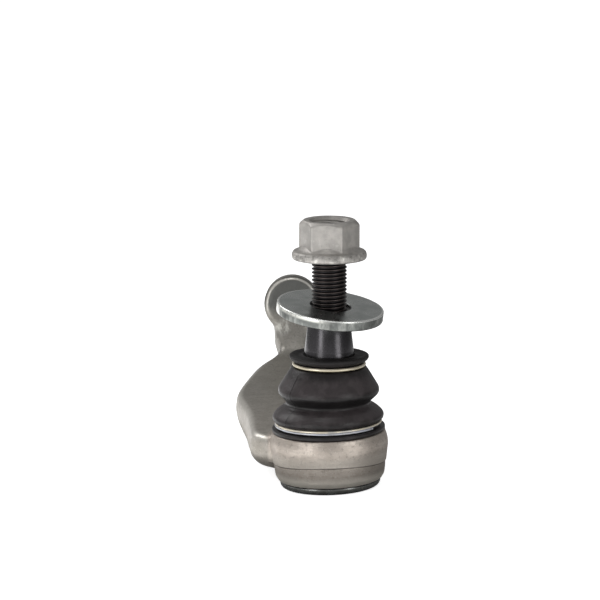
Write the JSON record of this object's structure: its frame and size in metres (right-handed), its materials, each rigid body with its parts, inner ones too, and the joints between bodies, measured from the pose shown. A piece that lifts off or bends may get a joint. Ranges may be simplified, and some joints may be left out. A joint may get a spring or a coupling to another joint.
{
  "type": "ball joint rod end",
  "caption": "Steering rod end: forged aluminium arm with a threaded boss, and a tapered ball stud under a rubber boot with a loose washer and flange nut.",
  "frame": {"origin": "centre of the ball, which is the point that the stud swings about", "axes": "+Z is the housing's own axis, up out of its mouth, and the stud rests 2 degrees off it towards +X; +Y along the arm, from the ball housing to the threaded boss"},
  "size_m": [0.0614, 0.1966, 0.107],
  "materials": {
    "forged_aluminium": "blasted, matt",
    "bearing_plastic": "natural",
    "spring_steel": "oiled",
    "pressed_steel": "satin",
    "dark_steel": "phosphated, oiled",
    "boot_rubber": "moulded, satin",
    "ring_wire": "bright",
    "zinc_steel": "zinc plated",
    "nut_steel": "zinc flake, matt"
  },
  "bodies": {
    "housing": {"housing": "forged_aluminium", "ball_seat": "bearing_plastic", "preload_spring": "spring_steel", "closure_cover": "pressed_steel"},
    "boot": {"dust_boot": "boot_rubber", "lower_clamp_ring": "ring_wire"},
    "boot_collar": {"upper_clamp_ring": "ring_wire"},
    "stud": {"ball_stud": "dark_steel"},
    "washer": {"washer": "zinc_steel"},
    "nut": {"flange_nut": "nut_steel"}
  },
  "joints": [
    {"name": "swing_direction", "type": "hinge", "parent": "housing", "child": "boot", "pos_m": [0, 0, 0], "axis": [0, 0, 1], "continuous": true},
    {"name": "stud_swing", "type": "hinge", "parent": "boot", "child": "boot_collar", "pos_m": [0, 0, 0], "axis": [0, 1, 0], "range_deg": [-24, 20], "deforming": ["dust_boot"]},
    {"name": "stud_spin", "type": "hinge", "parent": "boot_collar", "child": "stud", "pos_m": [0, 0, 0], "axis": [0.0349, 0, 0.9994], "continuous": true},
    {"name": "washer_slide", "type": "slide", "parent": "stud", "child": "washer", "axis": [0.0349, 0, 0.9994], "range_m": [0, 0.0074]},
    {"name": "nut_travel", "type": "slide", "parent": "stud", "child": "nut", "axis": [0.0349, 0, 0.9994], "range_m": [-0.008, 0.02]}
  ]
}
